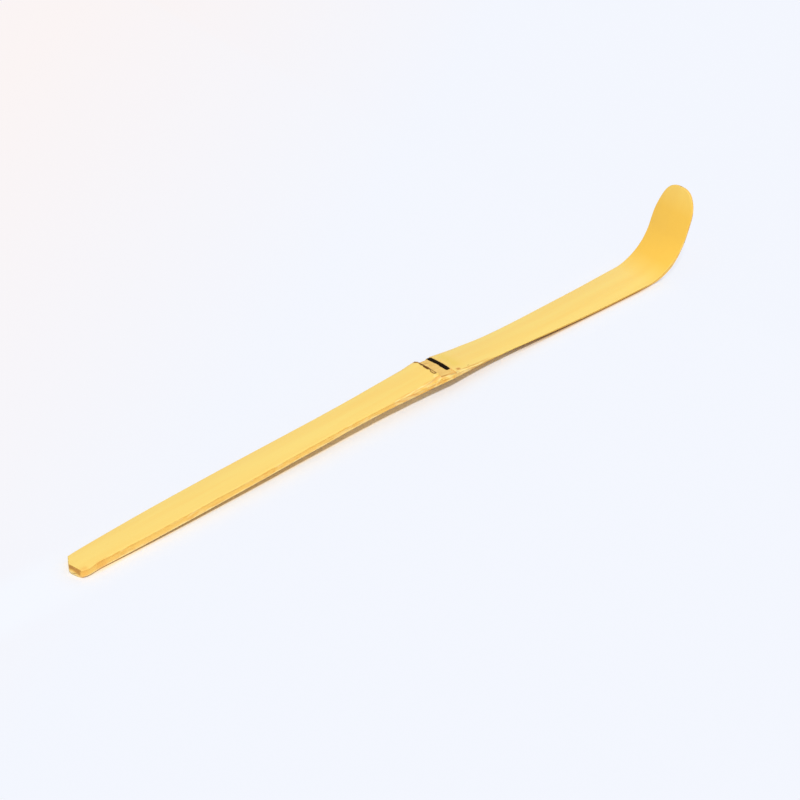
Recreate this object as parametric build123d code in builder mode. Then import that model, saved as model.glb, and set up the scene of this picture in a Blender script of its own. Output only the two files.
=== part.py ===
from build123d import *
import math
import os

# A tea scoop carved from one strip of bamboo, split from the culm so that one node
# lies near the middle. The strip's tissues are separate solids that meet face to face:
# the wood of the inner wall, the skin of the two internodes, and what a node leaves.
# +X runs from the cut end of the handle to the tip, and +Z is up. The scoop lies on a
# table at Z = 0, on a flat under the cut end and on the heel of its bend.

# Lengths along the strip, in millimetres
handle_length = 95.8            # cut end to the sheath scar
neck_length = 4.0               # last stretch of handle, where the skin flares to the scar
band_length = 3.1               # bare band between the sheath scar and the nodal line
ring_width = 1.1                # dark nodal line
stem_fall_length = 23.0         # steep stretch of the stem, past the node
stem_run_length = 33.75         # from there to the heel of the bend
blade_length = 10.25            # straight part of the blade, past the bend
tip_round_length = 10.0          # rounded end of the blade
rest_length = 5.0               # flat under the cut end

# The bend
bend_radius = 11.5              # crown of the strip, on the inside of the bend
blade_angle = 68.0              # rise of the blade, in degrees

# Heights of the crown of the strip above the table
cut_end_height = 2.22
belly_height = 3.51
neck_height = 4.33
scar_height = 4.72
band_height = 4.16              # at the sheath scar
band_end_height = 3.84          # at the nodal line
lip_height = 4.08               # skin beside the nodal line
waist_height = 1.95             # end of the stem's steep stretch
heel_height = 1.45

# Heights of the back above the table
belly_arch_height = 1.28
node_arch_height = 2.62
waist_arch_height = 0.78

# Slopes of the crown and the back, in degrees
handle_start_slope = 2.3
neck_slope = 0.6
flare_slope = 7.0
lip_slope = -10.0
waist_slope = -1.7
rest_edge_slope = 1.7
node_arch_rise_slope = 0.8     # the back peaks at the node
node_arch_fall_slope = -3.2

# Widths of the outline
cut_end_width = 5.5
collar_width = 6.8
belly_width = 7.1
neck_width = 6.85
node_foot_width = 7.2
node_width = 8.7
stem_neck_width = 8.1
waist_width = 8.15
blade_width = 10.5

# Corner of the cut end on the far side, taken off with a knife
corner_trim_length = 1.4
corner_trim_width = 2.1

# Corner of the cut end on the near side, worn round
corner_round_radius = 0.8

# The culm that the strip is split from
culm_radius = 30.0
culm_wall = 6.0
rind_thickness = 0.45
band_thickness = 0.5

# Thickness of the blade, past the bend and at the tip
bend_end_thickness = 1.2
tip_thickness = 1.15

# Dark line of the node
ring_length = 6.3
ring_depth = 0.3
ring_proud = 0.14
ring_offset = 0.95              # middle of the line, towards the far side

# Ragged scar that the culm's sheath leaves
scar_width = 0.42
scar_proud = 0.1

# Remains of the culm's cross wall, on the back of the node
diaphragm_length = 2.4
diaphragm_depth = 0.5
diaphragm_proud = 0.12
diaphragm_margin = 0.9

# Knife work along the edges
back_bevel = 0.45              # both long edges of the back
facet_slope = 20.0              # facets beside the node, in degrees
facet_reach = 3.0
facet_start_length = 14.0       # handle side of the facets, from the neck
facet_start_width = 7.5         # between the inner edges of the two facets, at each place
facet_neck_width = 5.3
facet_scar_width = 5.3
facet_lip_width = 5.5
facet_stem_width = 6.1
facet_end_width = 8.3

# How far the cutting shapes run past the strip
overrun = 1.0
tool_height = 26.0
blank_half_width = 6.5

# Widths where the stem opens into the blade, as shares of the blade's width
shoulder_width_share = 0.861905
heel_width_share = 0.947619

# Places along the handle and the stem, as shares of the stretch that carries them
belly_share = 0.5
collar_share = 0.22
belly_width_share = 0.43
neck_width_share = 0.65
node_foot_share = 0.83
stem_neck_share = 0.42
shoulder_share = 0.4

# Facets on the stem's steep stretch: place and fall as shares of its length and fall
facet_stem_shares = (0.26, 0.36)
facet_end_shares = (0.62, 0.76)

# Rise of the crown where the facets start, as a share of the way from belly to neck
facet_start_share = 0.8

# Shoulder of the rounded tip, as shares of its length and of the half width
tip_shoulder_shares = (0.62, 0.85)

# Ragged edge of the sheath scar: places across the strip as shares of the half width,
# with the distance that the edge stands back as shares of the scar's width
scar_edge_shares = [
    (-0.75, 0.6),
    (-0.5, 1.0),
    (-0.25, 0.55),
    (0.0, 0.95),
    (0.3, 0.6),
    (0.6, 1.0),
    (0.85, 0.7),
]

# Places along X, with the middle of the whole at X = 0
blade_rise = math.radians(blade_angle)
stem_length = stem_fall_length + stem_run_length
bend_reach = bend_radius * math.sin(blade_rise)
blade_reach = blade_length * math.cos(blade_rise)
back_reach = tip_thickness * math.sin(blade_rise)
node_length = band_length + ring_width
scoop_length = stem_length + bend_reach + blade_reach + back_reach
overall_length = handle_length + node_length + scoop_length
cut_x = -overall_length / 2
scar_x = cut_x + handle_length
neck_x = scar_x - neck_length
ring_x = scar_x + band_length
lip_x = ring_x + ring_width
node_x = (scar_x + lip_x) / 2
waist_x = lip_x + stem_fall_length
heel_x = lip_x + stem_length
bend_end_x = heel_x + bend_reach
bend_end_height = heel_height + bend_radius * (1 - math.cos(blade_rise))
tip_x = bend_end_x + blade_reach
tip_height = bend_end_height + blade_length * math.sin(blade_rise)
tip_shoulder_place = -tip_round_length * (1 - tip_shoulder_shares[0])
tip_shoulder_width = tip_shoulder_shares[1] * blade_width


def along(slope):
    """Direction in the side view that rises at a slope in degrees."""
    return (math.cos(math.radians(slope)), math.sin(math.radians(slope)))


def behind_blade(x, height, thickness):
    """Point on the back of the blade, in the side view, square to a point on its crown."""
    return (x + thickness * math.sin(blade_rise), height - thickness * math.cos(blade_rise))


def wall_layer(start, outer_depth, inner_depth):
    """Section of the culm's wall between two depths below the crown, square to a line's start."""
    spread = math.degrees(math.asin(blank_half_width / culm_radius))
    with BuildSketch(Plane(start @ 0, x_dir=(0, 1, 0), z_dir=start % 0)) as section:
        with BuildLine():
            outer = CenterArc((0, -culm_radius), culm_radius - outer_depth, 90 - spread, 2 * spread)
            inner = CenterArc((0, -culm_radius), culm_radius - inner_depth, 90 - spread, 2 * spread)
            Line(outer @ 0, inner @ 0)
            Line(outer @ 1, inner @ 1)
        make_face()
    return section.sketch


def facet_section(x, width, height):
    """Wedge above one facet beside the node, square to the strip."""
    inner_edge = width / 2
    fall = facet_reach * math.tan(math.radians(facet_slope))
    camber = inner_edge * inner_edge / (2 * culm_radius)
    with BuildSketch(Plane.YZ.offset(x)) as section:
        with BuildLine():
            Polyline(
                (inner_edge, height - camber),
                (inner_edge + facet_reach, height - camber - fall),
                (inner_edge + facet_reach, height + overrun),
                close=True,
            )
        make_face()
    return section.sketch


# Crown lines: the top of the strip in side view, for each internode and for the bare band
with BuildLine(Plane.XZ) as handle_crown:
    handle_rise = Spline(
        (cut_x, cut_end_height),
        (cut_x + belly_share * handle_length, belly_height),
        (neck_x, neck_height),
        tangents=[along(handle_start_slope), along(neck_slope)],
    )
    flare = Spline(handle_rise @ 1, (scar_x, scar_height), tangents=[along(neck_slope), along(flare_slope)])
    handle_start = Line(handle_rise @ 0 - (handle_rise % 0) * overrun, handle_rise @ 0)
    Line(flare @ 1, flare @ 1 + (flare % 1) * overrun)

with BuildLine(Plane.XZ) as band_crown:
    band_run = Line((scar_x, band_height), (ring_x, band_end_height))
    band_start = Line(band_run @ 0 - (band_run % 0) * overrun, band_run @ 0)
    Line(band_run @ 1, band_run @ 1 + (band_run % 1) * (ring_width + overrun))

with BuildLine(Plane.XZ) as scoop_crown:
    stem_fall = Spline(
        (lip_x, lip_height),
        (waist_x, waist_height),
        tangents=[along(lip_slope), along(waist_slope)],
    )
    stem_run = Spline(stem_fall @ 1, (heel_x, heel_height), tangents=[along(waist_slope), along(0)])
    bend = JernArc(stem_run @ 1, (1, 0), bend_radius, blade_angle)
    Line(bend @ 1, bend @ 1 + (bend % 1) * blade_length)
    scoop_start = Line(stem_fall @ 0 - (stem_fall % 0) * overrun, stem_fall @ 0)

# The carved shape, open above: the side view of the back, cut to the outline from above
with BuildPart() as carving:
    with BuildSketch(Plane.XZ):
        with BuildLine():
            rest = Line((cut_x, 0), (cut_x + rest_length, 0))
            handle_arch = Spline(
                rest @ 1,
                (cut_x + belly_share * handle_length, belly_arch_height),
                (node_x, node_arch_height),
                tangents=[along(rest_edge_slope), along(node_arch_rise_slope)],
            )
            stem_arch = Spline(
                handle_arch @ 1,
                (waist_x, waist_arch_height),
                (heel_x, 0),
                tangents=[along(node_arch_fall_slope), along(0)],
            )
            blade_back = Line(
                behind_blade(bend_end_x, bend_end_height, bend_end_thickness),
                behind_blade(tip_x, tip_height, tip_thickness),
            )
            Spline(stem_arch @ 1, blade_back @ 0, tangents=[stem_arch % 1, blade_back % 0])
            past_tip = Line(blade_back @ 1, blade_back @ 1 + (blade_back % 1) * overrun)
            Polyline(past_tip @ 1, ((past_tip @ 1).X, tool_height), (cut_x, tool_height), rest @ 0)
        make_face()
    extrude(amount=blank_half_width, both=True)

    with BuildSketch(Plane.XY.offset(-overrun)):
        with BuildLine():
            near_side = Spline(
                (cut_x, -cut_end_width / 2),
                (cut_x + collar_share * handle_length, -collar_width / 2),
                (cut_x + belly_width_share * handle_length, -belly_width / 2),
                (cut_x + neck_width_share * handle_length, -neck_width / 2),
                (cut_x + node_foot_share * handle_length, -node_foot_width / 2),
                (node_x, -node_width / 2),
                (lip_x + stem_neck_share * stem_fall_length, -stem_neck_width / 2),
                (waist_x, -waist_width / 2),
                (waist_x + shoulder_share * stem_run_length, -shoulder_width_share * blade_width / 2),
                (heel_x, -heel_width_share * blade_width / 2),
                (bend_end_x, -blade_width / 2),
            )
            Line(near_side @ 1, ((past_tip @ 1).X, -blade_width / 2))
            mirror(about=Plane.XZ)
            Line((cut_x, -cut_end_width / 2), (cut_x, cut_end_width / 2))
            Line(((past_tip @ 1).X, -blade_width / 2), ((past_tip @ 1).X, blade_width / 2))
        make_face()
    extrude(amount=tool_height + 2 * overrun, mode=Mode.INTERSECT)

    long_edges = carving.edges().filter_by(lambda edge: abs(edge.center().Y) > cut_end_width / 4)
    back_edges = long_edges.filter_by(lambda edge: abs((edge % 0.5).X) > rest_length / handle_length)
    back_edges = back_edges.filter_by(lambda edge: edge.center().Z < tip_height)
    chamfer(back_edges, length=back_bevel)

    # Far corner of the cut end
    with BuildSketch(Plane.XY):
        with BuildLine():
            trim = Line(
                (cut_x, cut_end_width / 2 - corner_trim_width),
                (cut_x + corner_trim_length, cut_end_width / 2),
            )
            trim_past = Line(trim @ 1, trim @ 1 + (trim % 1) * overrun)
            Polyline(
                trim_past @ 1,
                (cut_x - overrun, (trim_past @ 1).Y),
                (cut_x - overrun, (trim @ 0).Y),
                trim @ 0,
            )
        make_face()
    extrude(amount=tool_height, mode=Mode.SUBTRACT)

    # Near corner of the cut end
    upright_edges = carving.edges().filter_by(Axis.Z)
    near_corner = upright_edges.group_by(Axis.X)[0].sort_by(Axis.Y)[0]
    fillet(near_corner, radius=corner_round_radius)

    # Rounded end of the blade, cut square to it
    tip_plane = Plane(
        (tip_x, 0, tip_height),
        x_dir=(math.cos(blade_rise), 0, math.sin(blade_rise)),
        z_dir=(-math.sin(blade_rise), 0, math.cos(blade_rise)),
    )
    with BuildSketch(tip_plane):
        with BuildLine():
            Spline(
                (-tip_round_length, blade_width / 2),
                (tip_shoulder_place, tip_shoulder_width / 2),
                (0, 0),
                tangents=[(1, 0), (0, -1)],
            )
            Polyline(
                (0, 0),
                (overrun, 0),
                (overrun, blade_width / 2 + overrun),
                (-tip_round_length, blade_width / 2 + overrun),
                (-tip_round_length, blade_width / 2),
            )
        make_face()
        mirror(about=Plane.XZ)
    extrude(amount=culm_wall / 2, both=True, mode=Mode.SUBTRACT)

# Knife facets on both sides of the node
facet_start_height = belly_height + (neck_height - belly_height) * facet_start_share
facet_stem_x = lip_x + facet_stem_shares[0] * stem_fall_length
facet_stem_height = lip_height - (lip_height - waist_height) * facet_stem_shares[1]
facet_end_x = lip_x + facet_end_shares[0] * stem_fall_length
facet_end_height = lip_height - (lip_height - waist_height) * facet_end_shares[1]
with BuildPart() as node_facets:
    facet_sections = [
        facet_section(neck_x - facet_start_length, facet_start_width, facet_start_height),
        facet_section(neck_x, facet_neck_width, neck_height),
        facet_section(scar_x, facet_scar_width, scar_height),
        facet_section(lip_x, facet_lip_width, lip_height),
        facet_section(facet_stem_x, facet_stem_width, facet_stem_height),
        facet_section(facet_end_x, facet_end_width, facet_end_height),
    ]
    loft(facet_sections, ruled=True)
    mirror(about=Plane.XZ)

# Everything that the knife leaves of the strip, before the tissues divide it
with BuildPart() as carved_space:
    add(carving.part)
    add(node_facets.part, mode=Mode.SUBTRACT)

# The culm's layers along each stretch, uncut
with BuildPart() as handle_layers:
    sweep(wall_layer(handle_start, rind_thickness, culm_wall), path=handle_crown.wire())
    split(bisect_by=Plane.YZ.offset(scar_x), keep=Keep.BOTTOM)

with BuildPart() as band_layers:
    sweep(wall_layer(band_start, band_thickness, culm_wall), path=band_crown.wire())
    split(bisect_by=Plane.YZ.offset(scar_x), keep=Keep.TOP)
    split(bisect_by=Plane.YZ.offset(lip_x), keep=Keep.BOTTOM)

with BuildPart() as scoop_layers:
    sweep(wall_layer(scoop_start, rind_thickness, culm_wall), path=scoop_crown.wire())
    split(bisect_by=Plane.YZ.offset(lip_x), keep=Keep.TOP)

# Plan shapes that the details of the node are cut to
scar_points = [
    (scar_x - depth * scar_width, place * node_width / 2)
    for place, depth in scar_edge_shares
]
with BuildPart() as scar_space:
    with BuildSketch(Plane.XY.offset(-overrun)):
        with BuildLine():
            ragged_edge = Polyline(
                (scar_x - scar_width, -blank_half_width),
                *scar_points,
                (scar_x - scar_width, blank_half_width),
            )
            Polyline(
                ragged_edge @ 0,
                (scar_x, -blank_half_width),
                (scar_x, blank_half_width),
                ragged_edge @ 1,
            )
        make_face()
    extrude(amount=tool_height)

with BuildPart() as ring_space:
    with BuildSketch(Plane.XY.offset(-overrun)):
        with Locations((ring_x + ring_width / 2, ring_offset)):
            SlotOverall(ring_length, ring_width, rotation=90)
    extrude(amount=tool_height)

# Remains of the cross wall: a low bar with a rounded back, let into the back of the node
with BuildPart() as diaphragm_scar:
    with BuildSketch(Plane.XZ):
        with BuildLine():
            bar_top = Line(
                (node_x + diaphragm_length / 2, node_arch_height + diaphragm_depth),
                (node_x - diaphragm_length / 2, node_arch_height + diaphragm_depth),
            )
            bar_back = ThreePointArc(
                (node_x - diaphragm_length / 2, node_arch_height),
                (node_x, node_arch_height - diaphragm_proud),
                (node_x + diaphragm_length / 2, node_arch_height),
            )
            Line(bar_top @ 1, bar_back @ 0)
            Line(bar_back @ 1, bar_top @ 0)
        make_face()
    extrude(amount=node_width / 2 - back_bevel - diaphragm_margin, both=True)
    bar_ends = diaphragm_scar.edges().filter_by(Axis.Z)
    fillet(bar_ends, radius=diaphragm_length / 3)

# Dark line of the node, let into the band beside the lip
with BuildPart() as nodal_ring:
    sweep(wall_layer(band_start, -ring_proud, ring_depth), path=band_crown.wire())
    add(ring_space.part, mode=Mode.INTERSECT)
    add(carved_space.part, mode=Mode.INTERSECT)

# Bare band between the sheath scar and the skin of the upper internode
with BuildPart() as node_band:
    sweep(wall_layer(band_start, 0, band_thickness), path=band_crown.wire())
    split(bisect_by=Plane.YZ.offset(scar_x), keep=Keep.TOP)
    split(bisect_by=Plane.YZ.offset(lip_x), keep=Keep.BOTTOM)
    add(carved_space.part, mode=Mode.INTERSECT)
    add(nodal_ring.part, mode=Mode.SUBTRACT)

# Ragged scar of the sheath, at the end of the handle's skin
with BuildPart() as sheath_scar:
    sweep(wall_layer(handle_start, -scar_proud, rind_thickness), path=handle_crown.wire())
    add(scar_space.part, mode=Mode.INTERSECT)
    add(carved_space.part, mode=Mode.INTERSECT)

# Skin of the lower internode, on the handle
with BuildPart() as handle_rind:
    sweep(wall_layer(handle_start, 0, rind_thickness), path=handle_crown.wire())
    split(bisect_by=Plane.YZ.offset(scar_x), keep=Keep.BOTTOM)
    add(carved_space.part, mode=Mode.INTERSECT)
    add(scar_space.part, mode=Mode.SUBTRACT)

# Skin of the upper internode, from the lip of the node to the tip of the blade
with BuildPart() as scoop_rind:
    sweep(wall_layer(scoop_start, 0, rind_thickness), path=scoop_crown.wire())
    split(bisect_by=Plane.YZ.offset(lip_x), keep=Keep.TOP)
    add(carved_space.part, mode=Mode.INTERSECT)

# Wood of the inner wall, from the cut end to the tip
with BuildPart() as inner_wood:
    add(handle_layers.part)
    add(band_layers.part)
    add(scoop_layers.part)
    add(carved_space.part, mode=Mode.INTERSECT)
    add(diaphragm_scar.part, mode=Mode.SUBTRACT)

os.makedirs("parts", exist_ok=True)
tissues = {
    "inner_wood": inner_wood,
    "handle_rind": handle_rind,
    "scoop_rind": scoop_rind,
    "node_band": node_band,
    "nodal_ring": nodal_ring,
    "sheath_scar": sheath_scar,
    "diaphragm_scar": diaphragm_scar,
}
for name, tissue in tissues.items():
    tissue.part.label = name
    export_step(tissue.part, f"parts/{name}.step")
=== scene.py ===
import math

import bmesh
import bpy
import numpy as np
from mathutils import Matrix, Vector
from mathutils.bvhtree import BVHTree


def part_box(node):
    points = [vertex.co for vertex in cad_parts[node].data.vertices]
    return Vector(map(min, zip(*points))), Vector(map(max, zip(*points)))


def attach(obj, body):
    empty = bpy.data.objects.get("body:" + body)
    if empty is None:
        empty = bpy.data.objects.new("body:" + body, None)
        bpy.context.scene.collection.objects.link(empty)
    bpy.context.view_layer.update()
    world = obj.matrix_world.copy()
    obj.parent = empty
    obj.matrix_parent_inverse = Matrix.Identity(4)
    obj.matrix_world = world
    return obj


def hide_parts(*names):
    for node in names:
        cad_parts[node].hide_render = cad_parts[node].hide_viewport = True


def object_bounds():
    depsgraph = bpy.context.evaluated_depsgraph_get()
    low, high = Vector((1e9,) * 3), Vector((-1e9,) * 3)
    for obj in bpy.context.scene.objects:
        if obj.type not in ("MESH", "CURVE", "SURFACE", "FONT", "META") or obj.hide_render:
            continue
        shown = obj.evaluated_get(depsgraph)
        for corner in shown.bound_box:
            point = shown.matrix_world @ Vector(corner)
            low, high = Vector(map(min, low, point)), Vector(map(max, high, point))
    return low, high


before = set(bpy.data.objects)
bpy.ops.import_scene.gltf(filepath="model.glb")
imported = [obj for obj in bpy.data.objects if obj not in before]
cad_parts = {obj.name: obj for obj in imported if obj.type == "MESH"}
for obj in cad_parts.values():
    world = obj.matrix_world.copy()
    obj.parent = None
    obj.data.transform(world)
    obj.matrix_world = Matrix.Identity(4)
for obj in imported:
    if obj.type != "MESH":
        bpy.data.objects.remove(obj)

# A bamboo tea scoop, dressed around its frame. Every piece is a closed mesh made in the
# strip's own coordinates: s along the strip from the cut end, y across it, and n square to
# it, up from the line that the strip rests on. Past the heel that line rolls up with the
# bend, so that fibres, knife marks and stains follow the strip.

MM = 0.001
THIN = 0.02 * MM
CAD_LOW, CAD_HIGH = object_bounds()

# The strip's sizes, as the frame has them
BEND_RADIUS = 11.5 * MM
BLADE_ANGLE = math.radians(68.0)
BLADE_LENGTH = 10.25 * MM
TIP_THICKNESS = 1.15 * MM
TIP_ROUND = 10.0 * MM
CULM_RADIUS = 30.0 * MM
RIND = 0.45 * MM
BAND = 0.5 * MM
BACK_BEVEL = 0.45 * MM
TRIM_LENGTH = 1.4 * MM
TRIM_WIDTH = 2.1 * MM
FACET_SLOPE = math.radians(20.0)
SCAR_PROUD = 0.1 * MM
RING_PROUD = 0.14 * MM

# How knife and wear round off the tip, the near corner and the sharp edges
TIP_POWER = 2.6
CORNER_ROUND = 0.4 * MM
CORNER_FOOT_ROUND = 0.7 * MM
TOP_ROUND = 0.2 * MM
END_ROUND = 0.16 * MM
END_FOOT_ROUND = 0.35 * MM

# The knife's marks: waves of the outline, strokes along the sides, plane cuts on the back,
# the facets' grain and wandering edge, and the share of the bevel lost from node to heel
WAVE_DEPTH = 0.04 * MM
LONG_WAVE = 11 * MM
SHORT_WAVE = 2.6 * MM
STROKE_DEPTH = 0.06 * MM
STROKE_LENGTH = 19 * MM
PLANE_DEPTH = 0.07 * MM
PLANE_CUT_MM = 2.3
PLANE_START = 9 * MM
PLANE_END = 6 * MM
BACK_GRAIN = 0.01 * MM
FACET_GRAIN = 0.012 * MM
FACET_WANDER = 0.05 * MM
BEVEL_LOST = 0.8

# How far the grown surfaces rise and fall
SKIN_WAVE = 0.018 * MM
SKIN_GRAIN = 0.006 * MM
FOLD_HEIGHT = 0.03 * MM
LIP_DIP = 0.05 * MM
CRACK_DEPTH = 0.12 * MM
SCAR_REACH = 0.05 * MM

# The dark line and the rest of the cross wall, as bars let into the strip
RING_HALF = 0.66 * MM
RING_SUNK = 0.25 * MM
RING_BOW = 0.12 * MM
WALL_PROUD = 0.05 * MM
WALL_SUNK = 0.12 * MM
BEAD_GRAIN = 0.02 * MM
BEAD_STATIONS = 90
BEAD_TURNS = 28

# Where handwork leaves the strip a little out of true
SKEW = 0.62 * MM
SKEW_WIDTH = 3.4 * MM
SKEW_REACH = 4 * MM
TIP_LEAN = 0.28 * MM
LEAN_START = 8.5 * MM
LEAN_END = 3.5 * MM
BAND_INSET = 0.42 * MM
SCAR_FLARE = 0.14 * MM
HEEL_SWELL = 0.2 * MM
END_SWELL = 0.5 * MM

# Places along the strip, from the frame
CUT_X = CAD_LOW.x
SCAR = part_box("node_band")[0].x - CUT_X
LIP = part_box("scoop_rind")[0].x - CUT_X
RING = (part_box("nodal_ring")[0].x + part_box("nodal_ring")[1].x) / 2 - CUT_X
BLADE_REACH = (BEND_RADIUS + TIP_THICKNESS) * math.sin(BLADE_ANGLE) + BLADE_LENGTH * math.cos(BLADE_ANGLE)
HEEL_X = CAD_HIGH.x - BLADE_REACH
HEEL = HEEL_X - CUT_X
BEND_END = HEEL + BEND_RADIUS * BLADE_ANGLE
TIP = BEND_END + BLADE_LENGTH


def tree_of(*names):
    """The skin of some CAD nodes, for measuring."""
    points, faces = [], []
    for name in names:
        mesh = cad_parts[name].data
        base = len(points)
        points += [v.co.copy() for v in mesh.vertices]
        faces += [[base + i for i in p.vertices] for p in mesh.polygons]
    return BVHTree.FromPolygons(points, faces)


# Height of the crown at the heel, where the bend starts
HEEL_CROWN = tree_of("scoop_rind").ray_cast(Vector((HEEL_X, 0, 1)), Vector((0, 0, -1)))[0].z


def roll(s):
    """Sine and cosine of the strip's turn at each place along it."""
    turn = np.clip((s - HEEL) / BEND_RADIUS, 0, BLADE_ANGLE)
    return np.sin(turn), np.cos(turn)


def place(s, y, n):
    """World positions of places in the strip's coordinates."""
    sine, cosine = roll(s)
    reach = BEND_RADIUS + HEEL_CROWN - n
    past = np.maximum(s - BEND_END, 0)
    x = CUT_X + np.minimum(s, HEEL) + reach * sine + past * math.cos(BLADE_ANGLE)
    z = BEND_RADIUS + HEEL_CROWN - reach * cosine + past * math.sin(BLADE_ANGLE)
    return np.stack(np.broadcast_arrays(x, y, z), -1)


def handmade(s, y):
    """Places moved as the hand left them: the cut end runs askew, and the tip leans."""
    slant = SKEW * np.clip((TRIM_INNER - y) / SKEW_WIDTH, 0, 1.1) * step(SKEW_REACH, 0, s)
    return s + slant, y - TIP_LEAN * step(TIP - LEAN_START, TIP - LEAN_END, s)


def smoothed(values, width):
    """Values averaged with their neighbours, over a width counted in samples."""
    offsets = np.arange(-3 * width, 3 * width + 1)
    weights = np.exp(-0.5 * (offsets / width) ** 2)
    ends = len(offsets) // 2
    first, last = values[1] - values[0], values[-1] - values[-2]
    before = values[0] - first * np.arange(ends, 0, -1)
    after = values[-1] + last * np.arange(1, ends + 1)
    return np.convolve(np.concatenate([before, values, after]), weights / weights.sum(), "valid")


# Measuring the frame: the distance between samples, how far off a ray starts, and how far
# samples stay from where two pieces meet
SAMPLE = 0.5 * MM
FAR_OFF = 7 * MM
CLEAR = 0.3 * MM


def height_line(tree, start, end, direction, smooth=3):
    """The strip's height n along its middle, seen from above (-1) or from below (+1)."""
    places = np.linspace(start, end, max(int((end - start) / SAMPLE), 6))
    origins = place(places, 0.0, -direction * FAR_OFF)
    sine, cosine = roll(places)
    heights = []
    for origin, a, b in zip(origins, sine, cosine):
        found = tree.ray_cast(Vector(origin), Vector((-a, 0, b)) * direction)
        heights.append(-direction * FAR_OFF + direction * found[3])
    heights = smoothed(np.array(heights), smooth) if smooth else np.array(heights)
    return places, heights


def reaching(line, start, end):
    """The line run on straight to both ends of its stretch, as a function of s."""
    places, heights = line
    first = (heights[1] - heights[0]) / (places[1] - places[0])
    last = (heights[-1] - heights[-2]) / (places[-1] - places[-2])
    places = np.concatenate([[start], places, [end]])
    heights = np.concatenate(
        [[heights[0] + first * (start - places[1])], heights, [heights[-1] + last * (end - places[-2])]]
    )
    return lambda s: np.interp(s, places, heights)


# The crown of each layer, measured inside its own stretch and run on a little past the others
RUN_ON = 1 * MM
handle_found = height_line(tree_of("handle_rind"), CLEAR, SCAR - 3 * CLEAR, -1)
band_found = height_line(tree_of("node_band"), SCAR + CLEAR, LIP - 4 * CLEAR, -1, 0)
scoop_found = height_line(tree_of("scoop_rind"), LIP + CLEAR, TIP - CLEAR, -1)
handle_crown = reaching(handle_found, 0, SCAR + RUN_ON)
band_crown = reaching(band_found, SCAR - RUN_ON, LIP + RUN_ON)
scoop_crown = reaching(scoop_found, LIP - RUN_ON, TIP)

# The back's line passes under the remains of the cross wall, so it skips them
back_tree = tree_of("inner_wood")
BAR_LOW, BAR_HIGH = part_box("diaphragm_scar")
back_places, back_heights = [], []
for stretch in ((CLEAR, BAR_LOW.x - CUT_X - CLEAR), (BAR_HIGH.x - CUT_X + CLEAR, TIP - CLEAR)):
    found_places, found_heights = height_line(back_tree, *stretch, 1, 2)
    back_places.append(found_places)
    back_heights.append(found_heights)
back_line = reaching((np.concatenate(back_places), np.concatenate(back_heights)), 0, TIP)


def outline_samples():
    """Half widths of the strip on its near side, up to the rounded tip."""
    tree = tree_of("inner_wood", "handle_rind", "node_band", "scoop_rind")
    places = np.arange(CLEAR, TIP - TIP_ROUND, SAMPLE)
    middles = back_line(places) + BACK_BEVEL + 0.25 * (crown(places) - back_line(places) - BACK_BEVEL)
    found = [tree.ray_cast(Vector(p), Vector((0, 1, 0)))[0] for p in place(places, -FAR_OFF, middles)]
    return places, smoothed(np.array([-f.y for f in found]), 3)


def crown(s):
    """Height of the crown all along the strip."""
    return np.where(s < SCAR, handle_crown(s), np.where(s < LIP, band_crown(s), scoop_crown(s)))


near_outline = reaching(outline_samples(), 0, TIP)
CUT_HALF = float(near_outline(0.0))
TRIM_INNER = CUT_HALF - TRIM_WIDTH


def lattice(i, j, seed):
    """Repeatable random numbers from 0 to 1, one for each pair of whole numbers."""
    mixed = (i.astype(np.int64) * 374761393 + j.astype(np.int64) * 668265263 + seed * 362437) & 0xFFFFFFFF
    mixed = ((mixed ^ (mixed >> 13)) * 1274126177) & 0xFFFFFFFF
    return ((mixed ^ (mixed >> 16)) & 0xFFFF) / 0xFFFF


def ripple(a, b, seed):
    """Smooth random waves from -1 to 1, about one unit long each way, with a seed for each use."""
    a, b = np.broadcast_arrays(np.asarray(a, float), np.asarray(b, float))
    i, j = np.floor(a), np.floor(b)
    u, v = a - i, b - j
    u, v = u * u * (3 - 2 * u), v * v * (3 - 2 * v)
    low = lattice(i, j, seed) * (1 - u) + lattice(i + 1, j, seed) * u
    high = lattice(i, j + 1, seed) * (1 - u) + lattice(i + 1, j + 1, seed) * u
    return 2 * (low * (1 - v) + high * v) - 1


def grain(s, y, length, width, seed):
    """Random waves along the strip, with their length and width in millimetres."""
    return ripple(s / (length * MM), y / (width * MM), seed)


def step(low, high, value):
    """0 below low, 1 above high, and a smooth rise between them."""
    t = np.clip((value - low) / (high - low), 0, 1)
    return t * t * (3 - 2 * t)


def between(value, start, full, fading, end):
    """1 from full to fading, and 0 before start and past the end."""
    return step(start, full, value) * step(end, fading, value)


def bell(distance, width, power=2):
    """1 at no distance, falling smoothly away over a width; a high power gives a flat top."""
    return np.exp(-((distance / width) ** power))


def faceted(s, y):
    """1 on the knife facets beside the node and 0 on the whole skin."""
    away = np.abs(y) - facet_edge(s, y)
    return step(-0.02 * MM, 0.12 * MM, away) * (s > FACET_PLACES[0]) * (s < FACET_PLACES[-1])


def rounding(distance, radius):
    """How far an edge of this radius drops, at a distance in from it."""
    left = np.clip(radius - distance, 0, radius)
    return radius - np.sqrt(radius * radius - left * left)


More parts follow.
